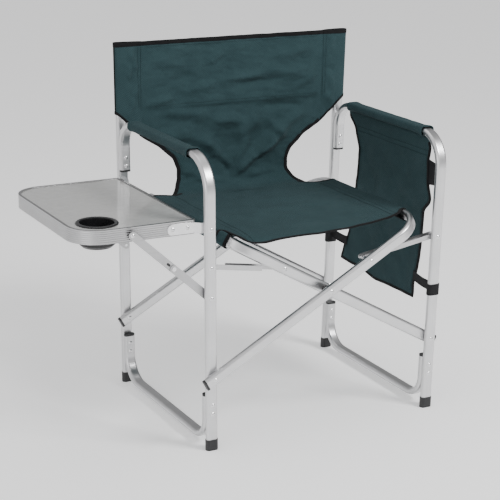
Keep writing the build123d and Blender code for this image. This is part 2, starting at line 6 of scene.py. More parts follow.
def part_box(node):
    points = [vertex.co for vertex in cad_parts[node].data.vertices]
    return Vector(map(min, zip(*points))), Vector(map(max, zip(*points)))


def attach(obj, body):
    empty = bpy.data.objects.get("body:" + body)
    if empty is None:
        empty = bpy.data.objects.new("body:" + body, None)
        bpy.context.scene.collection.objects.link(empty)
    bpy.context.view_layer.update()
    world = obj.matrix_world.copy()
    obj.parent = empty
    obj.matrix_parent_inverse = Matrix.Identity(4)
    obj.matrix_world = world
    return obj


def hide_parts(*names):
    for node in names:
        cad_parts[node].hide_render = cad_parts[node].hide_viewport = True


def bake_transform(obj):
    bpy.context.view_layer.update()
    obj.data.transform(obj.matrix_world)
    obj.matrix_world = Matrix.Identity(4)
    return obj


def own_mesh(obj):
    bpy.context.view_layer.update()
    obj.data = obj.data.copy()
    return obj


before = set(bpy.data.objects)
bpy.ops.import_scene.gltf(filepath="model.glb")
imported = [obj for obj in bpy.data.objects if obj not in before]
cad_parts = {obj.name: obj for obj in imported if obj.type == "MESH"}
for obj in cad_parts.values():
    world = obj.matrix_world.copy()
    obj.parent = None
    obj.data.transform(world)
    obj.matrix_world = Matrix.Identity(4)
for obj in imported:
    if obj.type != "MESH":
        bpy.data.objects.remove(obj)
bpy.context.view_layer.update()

# ---- places read from the frame ----
# Shapes below are given in chair millimetres: x from the mid-plane (table on -x),
# y from the front legs' centre to the rear, z up from the floor.
pin_low, pin_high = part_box("cross_pins")
mid_x = (pin_low.x + pin_high.x) / 2
post_low, post_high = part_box("right_rear_post")
rear_y = (post_low.y + post_high.y) / 2
leg_low, leg_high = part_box("right_leg_and_arm_tube")
front_y = leg_low.y + (post_high.y - post_low.y) / 2
tube_x, tube_y = 12.5, (post_high.y - post_low.y) * 500
lean = ((post_high.x - post_low.x) * 1000 - 2 * tube_x) / ((post_high.z - post_low.z) * 1000)
foot_half = (post_low.x - mid_x) * 1000 + tube_x - lean * post_low.z * 1000
depth = (rear_y - front_y) * 1000
arm_z = leg_high.z * 1000 - tube_y


def at(x, y, z):
    """Chair millimetres to the frame's metres."""
    return Vector((mid_x + x / 1000, front_y + y / 1000, z / 1000))


def leg_x(side, z):
    return side * (foot_half + lean * z)


# ---- camera ----
yaw, pitch, roll = radians(-28.35), radians(16.44), radians(0.91)
back = Vector((sin(yaw) * cos(pitch), -cos(yaw) * cos(pitch), sin(pitch)))
right = Vector((cos(yaw), sin(yaw), 0))
up = back.cross(right)
right, up = right * cos(roll) + up * sin(roll), up * cos(roll) - right * sin(roll)
camera_data = bpy.data.cameras.new("camera")
camera_data.lens, camera_data.sensor_width = 108.37, 36
camera = bpy.data.objects.new("camera", camera_data)
bpy.context.scene.collection.objects.link(camera)
camera.matrix_world = Matrix(
    [[right[i], up[i], back[i], at(-1596.2, -2611.9, 1303.5)[i]] for i in range(3)] + [[0, 0, 0, 1]]
)
camera_data.clip_start, camera_data.clip_end = 0.05, 60
bpy.context.scene.camera = camera

# ---- materials ----


class Nodes:
    """Short names for building a node material."""

    def __init__(self, name):
        self.material = bpy.data.materials.new(name)
        self.material.use_nodes = True
        self.tree = self.material.node_tree
        self.shader = self.tree.nodes["Principled BSDF"]

    def add(self, kind, **values):
        node = self.tree.nodes.new("ShaderNode" + kind)
        for key, value in values.items():
            if hasattr(node, key):
                setattr(node, key, value)
            else:
                node.inputs[key.replace("_", " ")].default_value = value
        return node

    def link(self, source, target):
        self.tree.links.new(source, target)

    def math(self, operation, a, b=None):
        node = self.add("Math", operation=operation)
        for index, value in enumerate((a, b)):
            if value is None:
                continue
            if hasattr(value, "is_output"):
                self.link(value, node.inputs[index])
            else:
                node.inputs[index].default_value = value
        return node.outputs[0]

    def times(self, a, b):
        return self.math("MULTIPLY", a, b)

    def plus(self, a, b):
        return self.math("ADD", a, b)

    def mapped(self, scale=(1, 1, 1), rotation=(0, 0, 0)):
        source = self.add("TexCoord").outputs["Object"]
        mapping = self.add("Mapping", Scale=scale, Rotation=rotation)
        self.link(source, mapping.inputs["Vector"])
        return mapping.outputs[0]

    def noise(self, vector, scale, detail=3.0, roughness=0.55):
        node = self.add("TexNoise", Scale=scale, Detail=detail, Roughness=roughness)
        self.link(vector, node.inputs["Vector"])
        return node.outputs["Fac"]

    def ramp(self, fac, *stops):
        node = self.add("ValToRGB")
        while len(node.color_ramp.elements) < len(stops):
            node.color_ramp.elements.new(0.5)
        for element, (place, colour) in zip(node.color_ramp.elements, stops):
            element.position = place
            element.color = (*colour, 1)
        self.link(fac, node.inputs["Fac"])
        return node.outputs["Color"]

    def span(self, fac, low, high):
        node = self.add("MapRange", To_Min=low, To_Max=high)
        self.link(fac, node.inputs["Value"])
        return node.outputs["Result"]

    def bump(self, height, distance, strength=1.0, normal=None):
        node = self.add("Bump", Strength=strength, Distance=distance)
        self.link(height, node.inputs["Height"])
        if normal is not None:
            self.link(normal, node.inputs["Normal"])
        return node.outputs["Normal"]

    def set(self, **values):
        for key, value in values.items():
            self.shader.inputs[key.replace("_", " ")].default_value = value

    def to(self, output, socket):
        self.link(output, self.shader.inputs[socket])


def metal(name, grain, tilt=0.0, tone=0.66, rough=(0.24, 0.40), ribs=0.0):
    """Satin anodised aluminium, brushed along one direction, with faint handling marks."""
    m = Nodes(name)
    streak = {"x": (12, 900, 900), "y": (900, 12, 900), "z": (900, 900, 12)}[grain]
    fine = m.noise(m.mapped(streak, (0, tilt, 0)), 1.0, 4.0, 0.6)
    broad = m.noise(m.mapped(), 14.0, 3.0)
    marks = m.noise(m.mapped(), 160.0, 5.0, 0.7)
    mixed = m.math("MULTIPLY_ADD", fine, 0.5)
    m.link(m.times(broad, 0.5), mixed.node.inputs[2])
    low, high = tone - 0.07, tone + 0.05
    m.to(m.ramp(mixed, (0.3, (low, low, low * 1.01)), (0.7, (high, high, high * 1.01))), "Base Color")
    rub = m.plus(m.times(fine, 0.6), m.times(marks, 0.4))
    m.to(m.span(rub, *rough), "Roughness")
    normal = m.bump(fine, 0.00006, 0.6)
    if ribs:
        split = m.add("SeparateXYZ")
        m.link(m.mapped(), split.inputs[0])
        wave = m.math("SINE", m.times(split.outputs[2], 2 * pi / ribs))
        normal = m.bump(wave, 0.0003, 0.8, normal)
    m.to(normal, "Normal")
    m.set(Metallic=1.0, IOR=1.45)
    return m.material


def cloth(name, dark, light, pitch=0.0012, sheen=0.02, twill=0.9):
    """Woven synthetic cloth: crossing yarns over a faint diagonal, in the UV map's metres."""
    m = Nodes(name)
    uv = m.add("UVMap", uv_map="UVMap").outputs[0]
    split = m.add("SeparateXYZ")
    m.link(uv, split.inputs[0])
    u, v = split.outputs[0], split.outputs[1]
    turn = 2 * pi / pitch
    warp = m.math("SINE", m.times(u, turn))
    weft = m.math("SINE", m.times(v, turn))
    over = m.times(warp, weft)
    diagonal = m.math("SINE", m.times(m.math("SUBTRACT", u, v), turn / 3))
    weave = m.plus(over, m.times(diagonal, twill))
    yarn = m.add("Mapping", Scale=(1500, 120, 1))
    m.link(uv, yarn.inputs["Vector"])
    slub = m.noise(yarn.outputs[0], 1.0, 3.0)
    broad = m.noise(m.mapped(), 22.0, 4.0)
    worn = m.noise(m.mapped(), 6.0, 2.0)
    tone = m.plus(m.times(weave, 0.16), m.times(slub, 0.5))
    tone = m.plus(tone, m.times(broad, 0.30))
    tone = m.plus(tone, m.times(worn, 0.20))
    rib_line = m.math("SINE", m.times(m.math("SUBTRACT", m.times(u, 0.8), v), turn / 4))
    tone = m.plus(tone, m.times(rib_line, 0.07))
    m.to(m.ramp(tone, (0.18, dark), (0.82, light)), "Base Color")
    m.to(m.span(weave, 0.92, 0.74), "Roughness")
    m.to(m.bump(m.plus(weave, m.times(slub, 0.7)), 0.00022, 0.7), "Normal")
    m.set(Sheen_Weight=sheen, Sheen_Roughness=0.45, IOR=1.42, Specular_IOR_Level=0.16)
    return m.material


def webbing(name, dark, light, pitch=0.0016):
    """Ribbed woven tape, with its ribs across the tape."""
    m = Nodes(name)
    split = m.add("SeparateXYZ")
    m.link(m.add("UVMap", uv_map="UVMap").outputs[0], split.inputs[0])
    rib = m.math("SINE", m.times(split.outputs[0], 2 * pi / pitch))
    yarn = m.math("SINE", m.times(split.outputs[1], 2 * pi / (pitch / 2)))
    weave = m.plus(rib, m.times(yarn, 0.5))
    fuzz = m.noise(m.mapped(), 700.0, 3.0)
    tone = m.plus(m.times(weave, 0.18), fuzz)
    m.to(m.ramp(tone, (0.25, dark), (0.85, light)), "Base Color")
    m.to(m.span(fuzz, 0.7, 0.9), "Roughness")
    m.to(m.bump(weave, 0.00025, 0.7), "Normal")
    m.set(Sheen_Weight=0.02, Specular_IOR_Level=0.15)
    return m.material


def plastic(name, dark, light, rough, grain=900.0, depth_m=0.00008):
    """Moulded plastic with a fine texture and slightly rubbed high spots."""
    m = Nodes(name)
    fine = m.noise(m.mapped(), grain, 4.0, 0.6)
    broad = m.noise(m.mapped(), 40.0, 3.0)
    m.to(m.ramp(m.times(m.plus(fine, broad), 0.5), (0.3, dark), (0.7, light)), "Base Color")
    m.to(m.span(broad, rough - 0.08, rough + 0.1), "Roughness")
    m.to(m.bump(fine, depth_m, 0.5), "Normal")
    m.set(IOR=1.48)
    return m.material


def laminate(name):
    """Glossy pale table top: clear coat over a faintly mottled grey."""
    m = Nodes(name)
    mottle = m.noise(m.mapped(), 60.0, 6.0, 0.7)
    ripple = m.noise(m.mapped(), 9.0, 2.0)
    m.to(m.ramp(mottle, (0.3, (0.43, 0.43, 0.42)), (0.7, (0.49, 0.49, 0.48))), "Base Color")
    m.to(m.span(mottle, 0.12, 0.2), "Roughness")
    m.to(m.bump(ripple, 0.0006, 0.3), "Normal")
    m.set(IOR=1.5, Coat_Weight=0.6, Coat_Roughness=0.06)
    return m.material


foot_pin_z, crossing_z = 163.4, 317.4     # heights of the scissor pins at the legs and in the middle
rest_slope = atan2(crossing_z - foot_pin_z, foot_half + lean * foot_pin_z)
post_metal = metal("satin_aluminium_upright", "z")
brace_metal = metal("satin_aluminium_brace", "y", tone=0.62)
cross_a_metal = metal("satin_aluminium_cross_a", "x", rest_slope)
cross_b_metal = metal("satin_aluminium_cross_b", "x", -rest_slope)
link_metal = metal("satin_aluminium_link", "x", tone=0.56, rough=(0.3, 0.46))
plate_metal = metal("bright_aluminium_plate", "x", tone=0.84)
rim_metal = metal("ribbed_aluminium_rim", "x", tone=0.46, rough=(0.22, 0.36), ribs=0.0042)
strut_metal = metal("taupe_strut_metal", "x", radians(42), tone=0.50, rough=(0.34, 0.5))
rivet_metal = metal("rivet_steel", "y", tone=0.78, rough=(0.16, 0.34))
teal = cloth("teal_oxford", (0.0125, 0.0300, 0.0335), (0.0385, 0.0740, 0.0810))
teal_thread = cloth("teal_thread", (0.008, 0.019, 0.021), (0.024, 0.044, 0.048), pitch=0.0006)
black_tape = webbing("black_binding", (0.003, 0.003, 0.0035), (0.012, 0.012, 0.013))
black_strap = webbing("black_webbing", (0.004, 0.004, 0.005), (0.03, 0.03, 0.032), pitch=0.0022)
black_plastic = plastic("black_moulded_plastic", (0.006, 0.006, 0.007), (0.02, 0.02, 0.021), 0.42)
cup_plastic = plastic("black_cup_plastic", (0.006, 0.006, 0.007), (0.016, 0.016, 0.017), 0.26, 500.0)
nylon = plastic("dark_nylon_spacer", (0.012, 0.012, 0.013), (0.035, 0.035, 0.036), 0.5)
table_top = laminate("pale_laminate")

cad_finish = {
    "foot_caps": black_plastic, "plugs": black_plastic, "spacers": nylon, "washers": nylon,
    "pins": rivet_metal, "rivets": rivet_metal, "studs": rivet_metal,
    "ground_brace": brace_metal, "rear_post": post_metal, "leg_and_arm_tube": post_metal,
    "cross_frame_a_tube": cross_a_metal, "cross_frame_b_tube": cross_b_metal,
    "link_front": link_metal, "link_rear": link_metal, "table_rim": rim_metal,
    "table_panel": table_top, "cup_holder": cup_plastic, "hinge_plates": plate_metal,
    "strut_lower": strut_metal, "strut_upper": strut_metal,
}
for node_name, node_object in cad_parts.items():
    for key, finish in cad_finish.items():
        if key in node_name:
            for material_slot in node_object.material_slots:
                material_slot.material = finish
            break

# ---- mesh building ----


def new_object(name, points, faces, uvs, material):
    mesh = bpy.data.meshes.new(name)
    mesh.from_pydata([tuple(p) for p in points], [], faces)
    layer = mesh.uv_layers.new(name="UVMap")
    for polygon in mesh.polygons:
        polygon.use_smooth = True
        for loop in polygon.loop_indices:
            layer.data[loop].uv = uvs[mesh.loops[loop].vertex_index]
    mesh.materials.append(material)
    mesh.update()
    piece = bpy.data.objects.new(name, mesh)
    bpy.context.scene.collection.objects.link(piece)
    return piece


def grid_normals(rows, closed=False):
    count, width = len(rows), len(rows[0])
    normals = []
    for i in range(count):
        line = []
        for j in range(width):
            down = rows[min(i + 1, count - 1)][j] - rows[max(i - 1, 0)][j]
            if closed:
                across = rows[i][(j + 1) % width] - rows[i][j - 1]
            else:
                across = rows[i][min(j + 1, width - 1)] - rows[i][max(j - 1, 0)]
            normal = across.cross(down)
            line.append(normal.normalized() if normal.length > 1e-12 else Vector((0, 0, 1)))
        normals.append(line)
    return normals


def sheet_piece(name, rows, thickness, material=teal, closed=False):
    """A cloth of even thickness on a grid of middle points in metres; its rows may close."""
    normals = grid_normals(rows, closed)
    count, width = len(rows), len(rows[0])
    points, uvs, faces = [], [], []
    u_marks = [[0.0] for _ in rows]
    for i, row in enumerate(rows):
        for j in range(1, width):
            u_marks[i].append(u_marks[i][-1] + (row[j] - row[j - 1]).length)
    v_marks = [0.0]
    for i in range(1, count):
        v_marks.append(v_marks[-1] + (rows[i][width // 2] - rows[i - 1][width // 2]).length)
    for layer in (0.5, -0.5):
        for i in range(count):
            for j in range(width):
                points.append(rows[i][j] + normals[i][j] * thickness * layer)
                uvs.append((u_marks[i][j] - u_marks[i][-1] / 2, v_marks[i]))
    size = count * width
    last = width if closed else width - 1
    for i in range(count - 1):
        for j in range(last):
            a, b = i * width + j, i * width + (j + 1) % width
            faces.append((a, a + width, b + width, b))
            faces.append((size + a, size + b, size + b + width, size + a + width))
    rim = []
    for j in range(last):
        k = (j + 1) % width
        rim.append((j, k, size + k, size + j))
        j2, k2 = (count - 1) * width + j, (count - 1) * width + k
        rim.append((j2, size + j2, size + k2, k2))
    if not closed:
        for i in range(count - 1):
            a, b = i * width, (i + 1) * width
            rim.append((a, size + a, size + b, b))
            a, b = a + width - 1, b + width - 1
            rim.append((a, b, size + b, size + a))
    faces += rim
    piece = new_object(name, points, faces, uvs, material)
    cut = {key for polygon in piece.data.polygons[len(faces) - len(rim):] for key in polygon.edge_keys}
    for edge in piece.data.edges:     # the cut edge shades crisply
        edge.use_edge_sharp = edge.key in cut
    lengths = [sum((row[j + 1] - row[j]).length for j in range(width - 1)) for row in rows]
    if closed:
        lengths = [length + (row[0] - row[-1]).length for length, row in zip(lengths, rows)]
    columns = [sum((rows[i + 1][j] - rows[i][j]).length for i in range(count - 1)) for j in range(width)]
    area = 0.0
    for i in range(count - 1):
        for j in range(last):
            k = (j + 1) % width
            a, b, c, d = rows[i][j], rows[i][k], rows[i + 1][k], rows[i + 1][j]
            area += ((b - a).cross(c - a).length + (c - a).cross(d - a).length) / 2
    return piece, (max(lengths), max(columns)), area


def tape(name, path, inward, normals, width, thickness, material=black_tape, overhang=0.8, closed=False):
    """Binding folded over a cloth's edge: a flattened loop swept along the edge (millimetres wide)."""
    section = []
    for k in range(12):
        angle = 2 * pi * k / 12
        flat = max(-1, min(1, 1.35 * cos(angle)))
        section.append((width / 2 * (1 - flat) - overhang, thickness / 2 * max(-1, min(1, 1.5 * sin(angle)))))
    points, uvs, faces, run = [], [], [], 0.0
    for i, point in enumerate(path):
        if i:
            run += (point - path[i - 1]).length
        for k, (a, b) in enumerate(section):
            points.append(point + inward[i] * a / 1000 + normals[i] * b / 1000)
            uvs.append((run, k * width / 6000))
    n = len(section)
    for i in range(len(path) - 1 + (1 if closed else 0)):
        i2 = (i + 1) % len(path)
        for k in range(n):
            k2 = (k + 1) % n
            faces.append((i * n + k, i * n + k2, i2 * n + k2, i2 * n + k))
    if not closed:
        faces.append(tuple(range(n - 1, -1, -1)))
        faces.append(tuple((len(path) - 1) * n + k for k in range(n)))
    return new_object(name, points, faces, uvs, material)


def stitches(name, runs, pitch=3.4, length=2.5, thick=0.42, material=teal_thread):
    """Short raised stitches along runs of (points, normals), in one piece."""
    points, faces, uvs = [], [], []
    for path, normals in runs:
        marks = [0.0]
        for i in range(1, len(path)):
            marks.append(marks[-1] + (path[i] - path[i - 1]).length)
        place, i = pitch / 2000, 0
        while place + length / 2000 < marks[-1]:
            while marks[i + 1] < place:
                i += 1
            share = (place - marks[i]) / max(marks[i + 1] - marks[i], 1e-9)
            centre = path[i].lerp(path[i + 1], share)
            normal = normals[i].lerp(normals[i + 1], share).normalized()
            along = (path[i + 1] - path[i]).normalized()
            side = along.cross(normal).normalized()
            first = len(points)
            for step, rise in ((-0.5, -0.3), (-0.28, 0.7), (0.0, 1.0), (0.28, 0.7), (0.5, -0.3)):
                wide = thick * (0.45 if abs(step) == 0.5 else 1.0) / 1000
                for k in range(6):
                    angle = 2 * pi * k / 6
                    points.append(
                        centre + along * step * length / 1000 + side * cos(angle) * wide
                        + normal * (sin(angle) * wide + rise * thick / 2000)
                    )
                    uvs.append((step * length / 1000, k * 0.0004))
            for ring in range(4):
                for k in range(6):
                    a, b = first + ring * 6 + k, first + ring * 6 + (k + 1) % 6
                    faces.append((a, b, b + 6, a + 6))
            faces.append(tuple(first + k for k in range(5, -1, -1)))
            faces.append(tuple(first + 24 + k for k in range(6)))
            place += pitch / 1000
    return new_object(name, points, faces, uvs, material)


def table_value(pairs, x):
    """Value between the points of a table of (x, value) pairs in rising x."""
    if x <= pairs[0][0]:
        return pairs[0][1]
    for (x0, v0), (x1, v1) in zip(pairs, pairs[1:]):
        if x <= x1:
            return v0 + (v1 - v0) * ((x - x0) / (x1 - x0))
    return pairs[-1][1]


def smooth_table(pairs, x, reach):
    """The same table, averaged over a short reach so that its corners are rounded."""
    steps = (-1, -0.5, 0, 0.5, 1)
    return sum(table_value(pairs, x + reach * s) for s in steps) / len(steps)


def folds(x, z, lines):
    """Height of soft folds: each is (x0, z0, x1, z1, height, half width)."""
    total = 0.0
    for x0, z0, x1, z1, height, half in lines:
        dx, dz = x1 - x0, z1 - z0
        length = hypot(dx, dz)
        along = ((x - x0) * dx + (z - z0) * dz) / length
        across = ((x - x0) * dz - (z - z0) * dx) / length
        if -half < along < length + half:
            ends = min(1.0, (along + half) / (0.45 * length), (length + half - along) / (0.3 * length))
            total += height * max(ends, 0) ** 1.5 * exp(-((across / half) ** 2))
    return total


def crinkle(point, scale, height):
    return noise.noise(Vector(point) / scale) * height


def rounded(half, corner, part):
    """One coordinate of a rounded outline, where part is the angle's cosine or sine."""
    return (half - corner) * (1 if part > 1e-6 else -1 if part < -1e-6 else 0) + corner * part


def fit(piece, body):
    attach(piece, body)


# ---- backrest ----
back_low, back_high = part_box("back_panel")
back_top = back_high.z * 1000
seam_x, pocket_z, neck_low = 233.0, 645.0, back_low.z * 1000
edge_table = [(neck_low - 20, 172), (452, 156), (477, 145), (501, 145), (525, 155), (556, 190),
              (581, 231), (604, 257), (634, 291), (640, 300)]
back_folds = [
    (0, 470, 60, 520, 5.5, 11), (40, 505, 150, 572, 5.0, 13), (0, 478, 40, 560, 3.5, 14),
    (-5, 486, -75, 566, 4.5, 13), (-60, 545, -160, 600, 3.0, 14), (60, 515, 105, 550, 5.5, 12),
    (70, 545, 190, 612, 3.5, 12), (15, 560, 60, 600, 3.0, 15), (-130, 500, -80, 470, 2.5, 12),
    (-110, 560, -190, 590, 2.5, 10), (20, 470, 110, 478, 2.5, 10), (-100, 470, -20, 462, 2.0, 9),
    (-70, 694, 98, 706, 3.0, 9), (0, 684, 125, 690, -2.5, 8), (-140, 680, -40, 690, 2.0, 9),
    (-30, 764, -60, 742, 1.5, 8), (60, 720, 190, 700, 2.0, 12), (-210, 760, -120, 735, 1.8, 12),
    (-225, 655, -150, 668, 2.2, 8), (150, 660, 222, 700, 1.8, 9), (-200, 640, -60, 618, 3.0, 12),
    (40, 632, 200, 626, -2.5, 10), (-60, 612, 30, 596, 2.5, 12), (-40, 520, -10, 480, -3.0, 9),
    (90, 600, 130, 560, 2.4, 10), (-180, 700, -100, 716, -1.6, 10), (110, 742, 200, 760, 1.4, 11),
]


def back_depth(x, z):
    """How far the backrest's middle surface stands behind the seams' plane, in millimetres."""
    taut = 1 - min(1.0, abs(x) / seam_x) ** 2
    hollow = 7.0 * taut * exp(-(((z - 700) / 90) ** 2))
    lower = 9.0 * exp(-((x / 120) ** 2)) * exp(-(((z - 540) / 60) ** 2))
    edge = min(1.0, max(0.0, (seam_x - abs(x)) / 25)) if z > 600 else 1.0
    step = 0.0
    if abs(x) < seam_x - 4:
        line = pocket_z + 1.5 - 3.0 * taut
        step = 4.2 / (1 + exp(-(z - line) / 1.3)) * exp(-max(0.0, z - line) / 45)
    value = hollow + lower - folds(x, z, back_folds) * edge * 2.6 - step * edge
    value += (crinkle((x, 0, z), 36, 3.4) + crinkle((x, 50, z * 1.8), 17, 1.5)) * edge
    return value


def back_point(x, run):
    """Point of the backrest at a height; below the neck it curls forward onto the seat."""
    bend_z, radius = 486.0, 40.0
    if run > bend_z:
        y, z = depth - 3.6, run
    else:
        turn = min((bend_z - run) / radius, pi / 2)
        y = depth - 3.6 - radius * (1 - cos(turn)) - max(0.0, (bend_z - run) - radius * pi / 2)
        z = bend_z - radius * sin(turn)
    return y, z


back_rows, back_columns = [], 96
run_low = 410.0
run = back_top - 1.5
while run > run_low:
    half = min(seam_x, smooth_table(edge_table, run, 3.0))
    row = []
    for j in range(back_columns + 1):
        x = -half + 2 * half * j / back_columns
        y, z = back_point(x, run)
        fade = 1.0 if run > 470 else max(0.0, (run - 430) / 40)
        row.append(at(x, y + back_depth(x, run) * fade, z))
    back_rows.append(row)
    run -= 3.2
back_cloth, back_flat, back_area = sheet_piece("backrest_cloth", back_rows, 0.0014)
fit(back_cloth, "left_frame")
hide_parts("back_panel")


def edge_run(rows, picks, other):
    """Path, inward direction and normal along one side of a grid."""
    normals = grid_normals(rows)
    path = [rows[i][j] for i, j in picks]
    inward = [(rows[a][b] - rows[i][j]).normalized() for (i, j), (a, b) in zip(picks, other)]
    return path, inward, [normals[i][j] for i, j in picks]


def square_run(rows, picks, other):
    """The same, with the inward direction turned square to the path."""
    path, inward, normals = edge_run(rows, picks, other)
    last = len(path) - 1
    along = [(path[min(n + 1, last)] - path[max(n - 1, 0)]).normalized() for n in range(last + 1)]
    return path, [(v - a * v.dot(a)).normalized() for v, a in zip(inward, along)], normals


count = len(back_rows)
panel_width = 2 * seam_x / 1000 - 0.0005
neck_start = next(i for i in range(count) if (back_rows[i][-1] - back_rows[i][0]).length < panel_width)
back_trim = []
for label, j, k in (("left", 0, 1), ("right", back_columns, back_columns - 1)):
    picks = [(i, j) for i in range(neck_start - 1, count)]
    path, inward, normals = square_run(back_rows, picks, [(i, k) for i, _ in picks])
    back_trim.append(tape(f"neck_binding_{label}", path, inward, normals, 9.0, 3.0))
picks = [(0, j) for j in range(back_columns + 1)]
path, inward, normals = edge_run(back_rows, picks, [(2, j) for _, j in picks])
back_trim.append(tape("top_binding", path, inward, normals, 9.5, 3.2))

# stitching on the panel: pocket seam, neck edges and under the top binding


def near_row(height):
    return min(range(count), key=lambda i: abs(back_rows[i][0].z - height / 1000))


front_normals = grid_normals(back_rows)


def surface_run(cells, lift=0.0009):
    """Points and normals just in front of the backrest's cloth."""
    facing = [front_normals[i][j] for i, j in cells]
    facing = [n if n.y < 0 else -n for n in facing]
    return [back_rows[i][j] + n * lift for (i, j), n in zip(cells, facing)], facing


runs = []
for height in (pocket_z + 6, back_top - 15):
    i = near_row(height)
    runs.append(surface_run([(i, j) for j in range(2, back_columns - 1)]))
for j in (4, back_columns - 4):
    runs.append(surface_run([(i, j) for i in range(near_row(594), count - 22)]))
back_trim.append(stitches("backrest_stitching", runs))
for trim in back_trim:
    fit(trim, "left_frame")
for soft in (back_cloth, *back_trim):
    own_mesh(soft)

# pole sleeves: cloth round each post, drawn together at a double seam
foot_table = [(225, 576), (231, 581), (257, 604), (291, 634), (300, 641)]
wrap_folds = {
    -1: [(-268, 784, -245, 734, 3.2, 7), (-262, 790, -270, 700, 2.2, 6), (-241, 790, -243, 700, -1.8, 6),
         (-245, 700, -265, 640, 2.8, 7), (-285, 770, -262, 720, 2.0, 6), (-250, 650, -240, 610, 1.8, 7)],
    1: [(262, 780, 240, 740, 1.8, 7), (245, 700, 268, 668, 1.6, 8), (240, 650, 262, 625, 2.0, 8)],
}


def wrap_section(side, z):
    """Open loop round a post: from the front of the seam, round the outside, to its back."""
    centre = leg_x(side, z)
    half_x, half_y, corner = tube_x + 1.05, tube_y + 1.05, 6.8
    seam = side * seam_x - centre
    points = []
    steps = 14
    for k in range(steps):
        share = k / steps
        x = seam + (-side * 6.0 - seam) * share
        ease = share ** 0.6
        y = -3.6 + (-half_y + 3.6) * min(1.0, ease * 1.05)
        points.append((x, y, 1.0 - share))
    for quadrant in ((side, -1), (side, 1)):
        for k in range(7):
            angle = pi / 2 * k / 6
            if quadrant[1] < 0:
                x, y = sin(angle), -cos(angle)
            else:
                x, y = cos(angle), sin(angle)
            y = (half_y - corner) * quadrant[1] + corner * y
            points.append((side * (half_x - corner + corner * x), y, 0.0))
    for k in range(1, steps + 1):
        share = k / steps
        x = -side * 6.0 + (seam + side * 6.0) * share
        ease = (1 - share) ** 0.6
        points.append((x, -1.8 + (half_y + 1.8) * min(1.0, ease * 1.05), share))
    return [(centre + x, depth + y, free) for x, y, free in points]


for side, body, label in ((-1, "left_frame", "left"), (1, "right_frame", "right")):
    rows, levels = [], 58
    for i in range(levels + 1):
        row = []
        base = wrap_section(side, back_top)
        for n in range(len(base)):
            foot = smooth_table(foot_table, abs(base[n][0]), 3.0)
            z = back_top - 1.5 + (foot - back_top + 1.5) * i / levels
            x, y, free = wrap_section(side, z)[n]
            front = -1 if n < len(base) / 2 else 1
            puff = folds(x, z, wrap_folds[side]) * min(1.0, free * (1 - free) * 5)
            puff = 1.5 * puff + crinkle((x, y, z), 18, 2.6) * min(1.0, free * (1 - free) * 4)
            row.append(at(x, y + front * puff, z))
        rows.append(row if side < 0 else row[::-1])
    wrap, flat, area = sheet_piece(f"pole_sleeve_{label}", rows, 0.0013)
    fit(wrap, body)
    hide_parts(f"back_sleeve_{label}")
    trims = []
    for end_name, i, i2, width in (("top", 0, 2, 9.5), ("foot", levels, levels - 2, 7.0)):
        picks = [(i, j) for j in range(len(rows[0]))]
        path, inward, normals = edge_run(rows, picks, [(i2, j) for _, j in picks])
        trims.append(tape(f"pole_sleeve_binding_{end_name}_{label}", path, inward, normals, width, 3.0))
    outer = max(range(len(rows[0])), key=lambda n: side * rows[0][n].x)
    picks = [(i, outer) for i in range(levels + 1)]
    path = [rows[i][outer] + Vector((side * 0.0008, 0, 0)) for i, _ in picks]
    trims.append(tape(f"pole_sleeve_piping_{label}", path, [Vector((0, -1, 0))] * len(path),
                      [Vector((side, 0, 0))] * len(path), 5.0, 1.6, overhang=2.5))
    runs = []
    for inset in (3.0, 9.0):
        path = []
        for i in range(levels + 1):
            row = rows[i] if side < 0 else rows[i][::-1]
            z = row[0].z * 1000
            if z < pocket_z - 6 or z > back_top - 12:
                continue
            n = min(range(14), key=lambda n: abs(abs(row[n].x - mid_x) * 1000 - seam_x - inset))
            path.append(row[n] + Vector((0, -0.0012, 0)))
        runs.append((path, [Vector((0, -1, 0))] * len(path)))
    trims.append(stitches(f"pole_sleeve_stitching_{label}", runs))
    for trim in trims:
        fit(trim, body)

# ---- arm sleeves ----
sleeve_creep = 14     # the right sleeve sits this much further forward
for side, body, label in ((-1, "left_frame", "left"), (1, "right_frame", "right")):
    low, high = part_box(f"{label}_arm_sleeve")
    start, end = (low.y - front_y) * 1000, (high.y - front_y) * 1000
    if side > 0:
        start -= sleeve_creep
    rows, levels, loop = [], 70, 36
    for i in range(levels + 1):
        share = i / levels
        y = start + (end - start) * share
        flare = 2.4 * exp(-((y - start) / 16) ** 2) + 1.6 * exp(-((end - y) / 16) ** 2)
        row = []
        for k in range(loop):
            angle = 2 * pi * k / loop
            half_x, half_z, corner = tube_x + 1.1, tube_y + 1.1, 6.6
            cx, cz = cos(angle), sin(angle)
            x, z = rounded(half_x, corner, cx), rounded(half_z, corner, cz)
            grow = 1 + (flare + 0.35 + crinkle((x, y, z + side * 40), 15, 0.7)) / 13
            under = max(0.0, -cz) ** 6 * 1.2
            row.append(at(leg_x(side, arm_z) + x * grow, y, arm_z + z * grow - under))
        rows.append(row)
    sleeve, flat, area = sheet_piece(f"arm_cover_{label}", rows, 0.0013, closed=True)
    fit(sleeve, body)
    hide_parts(f"{label}_arm_sleeve")
    trims = []
    for end_name, i in (("front", 0), ("rear", levels)):
        step = 1 if i == 0 else -1
        path = rows[i]
        inward = [(rows[i + step][k] - rows[i][k]).normalized() for k in range(loop)]
        centre = sum(path, Vector()) / loop
        normals = [(p - centre).normalized() for p in path]
        name = f"arm_cover_hem_{end_name}_{label}"
        trims.append(tape(name, path, inward, normals, 9.0, 2.0, teal, closed=True))
    runs = []
    for k in (int(loop * 0.72), int(loop * 0.78)):
        path = [rows[i][k] + Vector((0, 0, -0.0009)) for i in range(3, levels - 2)]
        runs.append((path, [Vector((0, 0, -1))] * len(path)))
    trims.append(stitches(f"arm_cover_stitching_{label}", runs))
    for trim in trims:
        fit(trim, body)

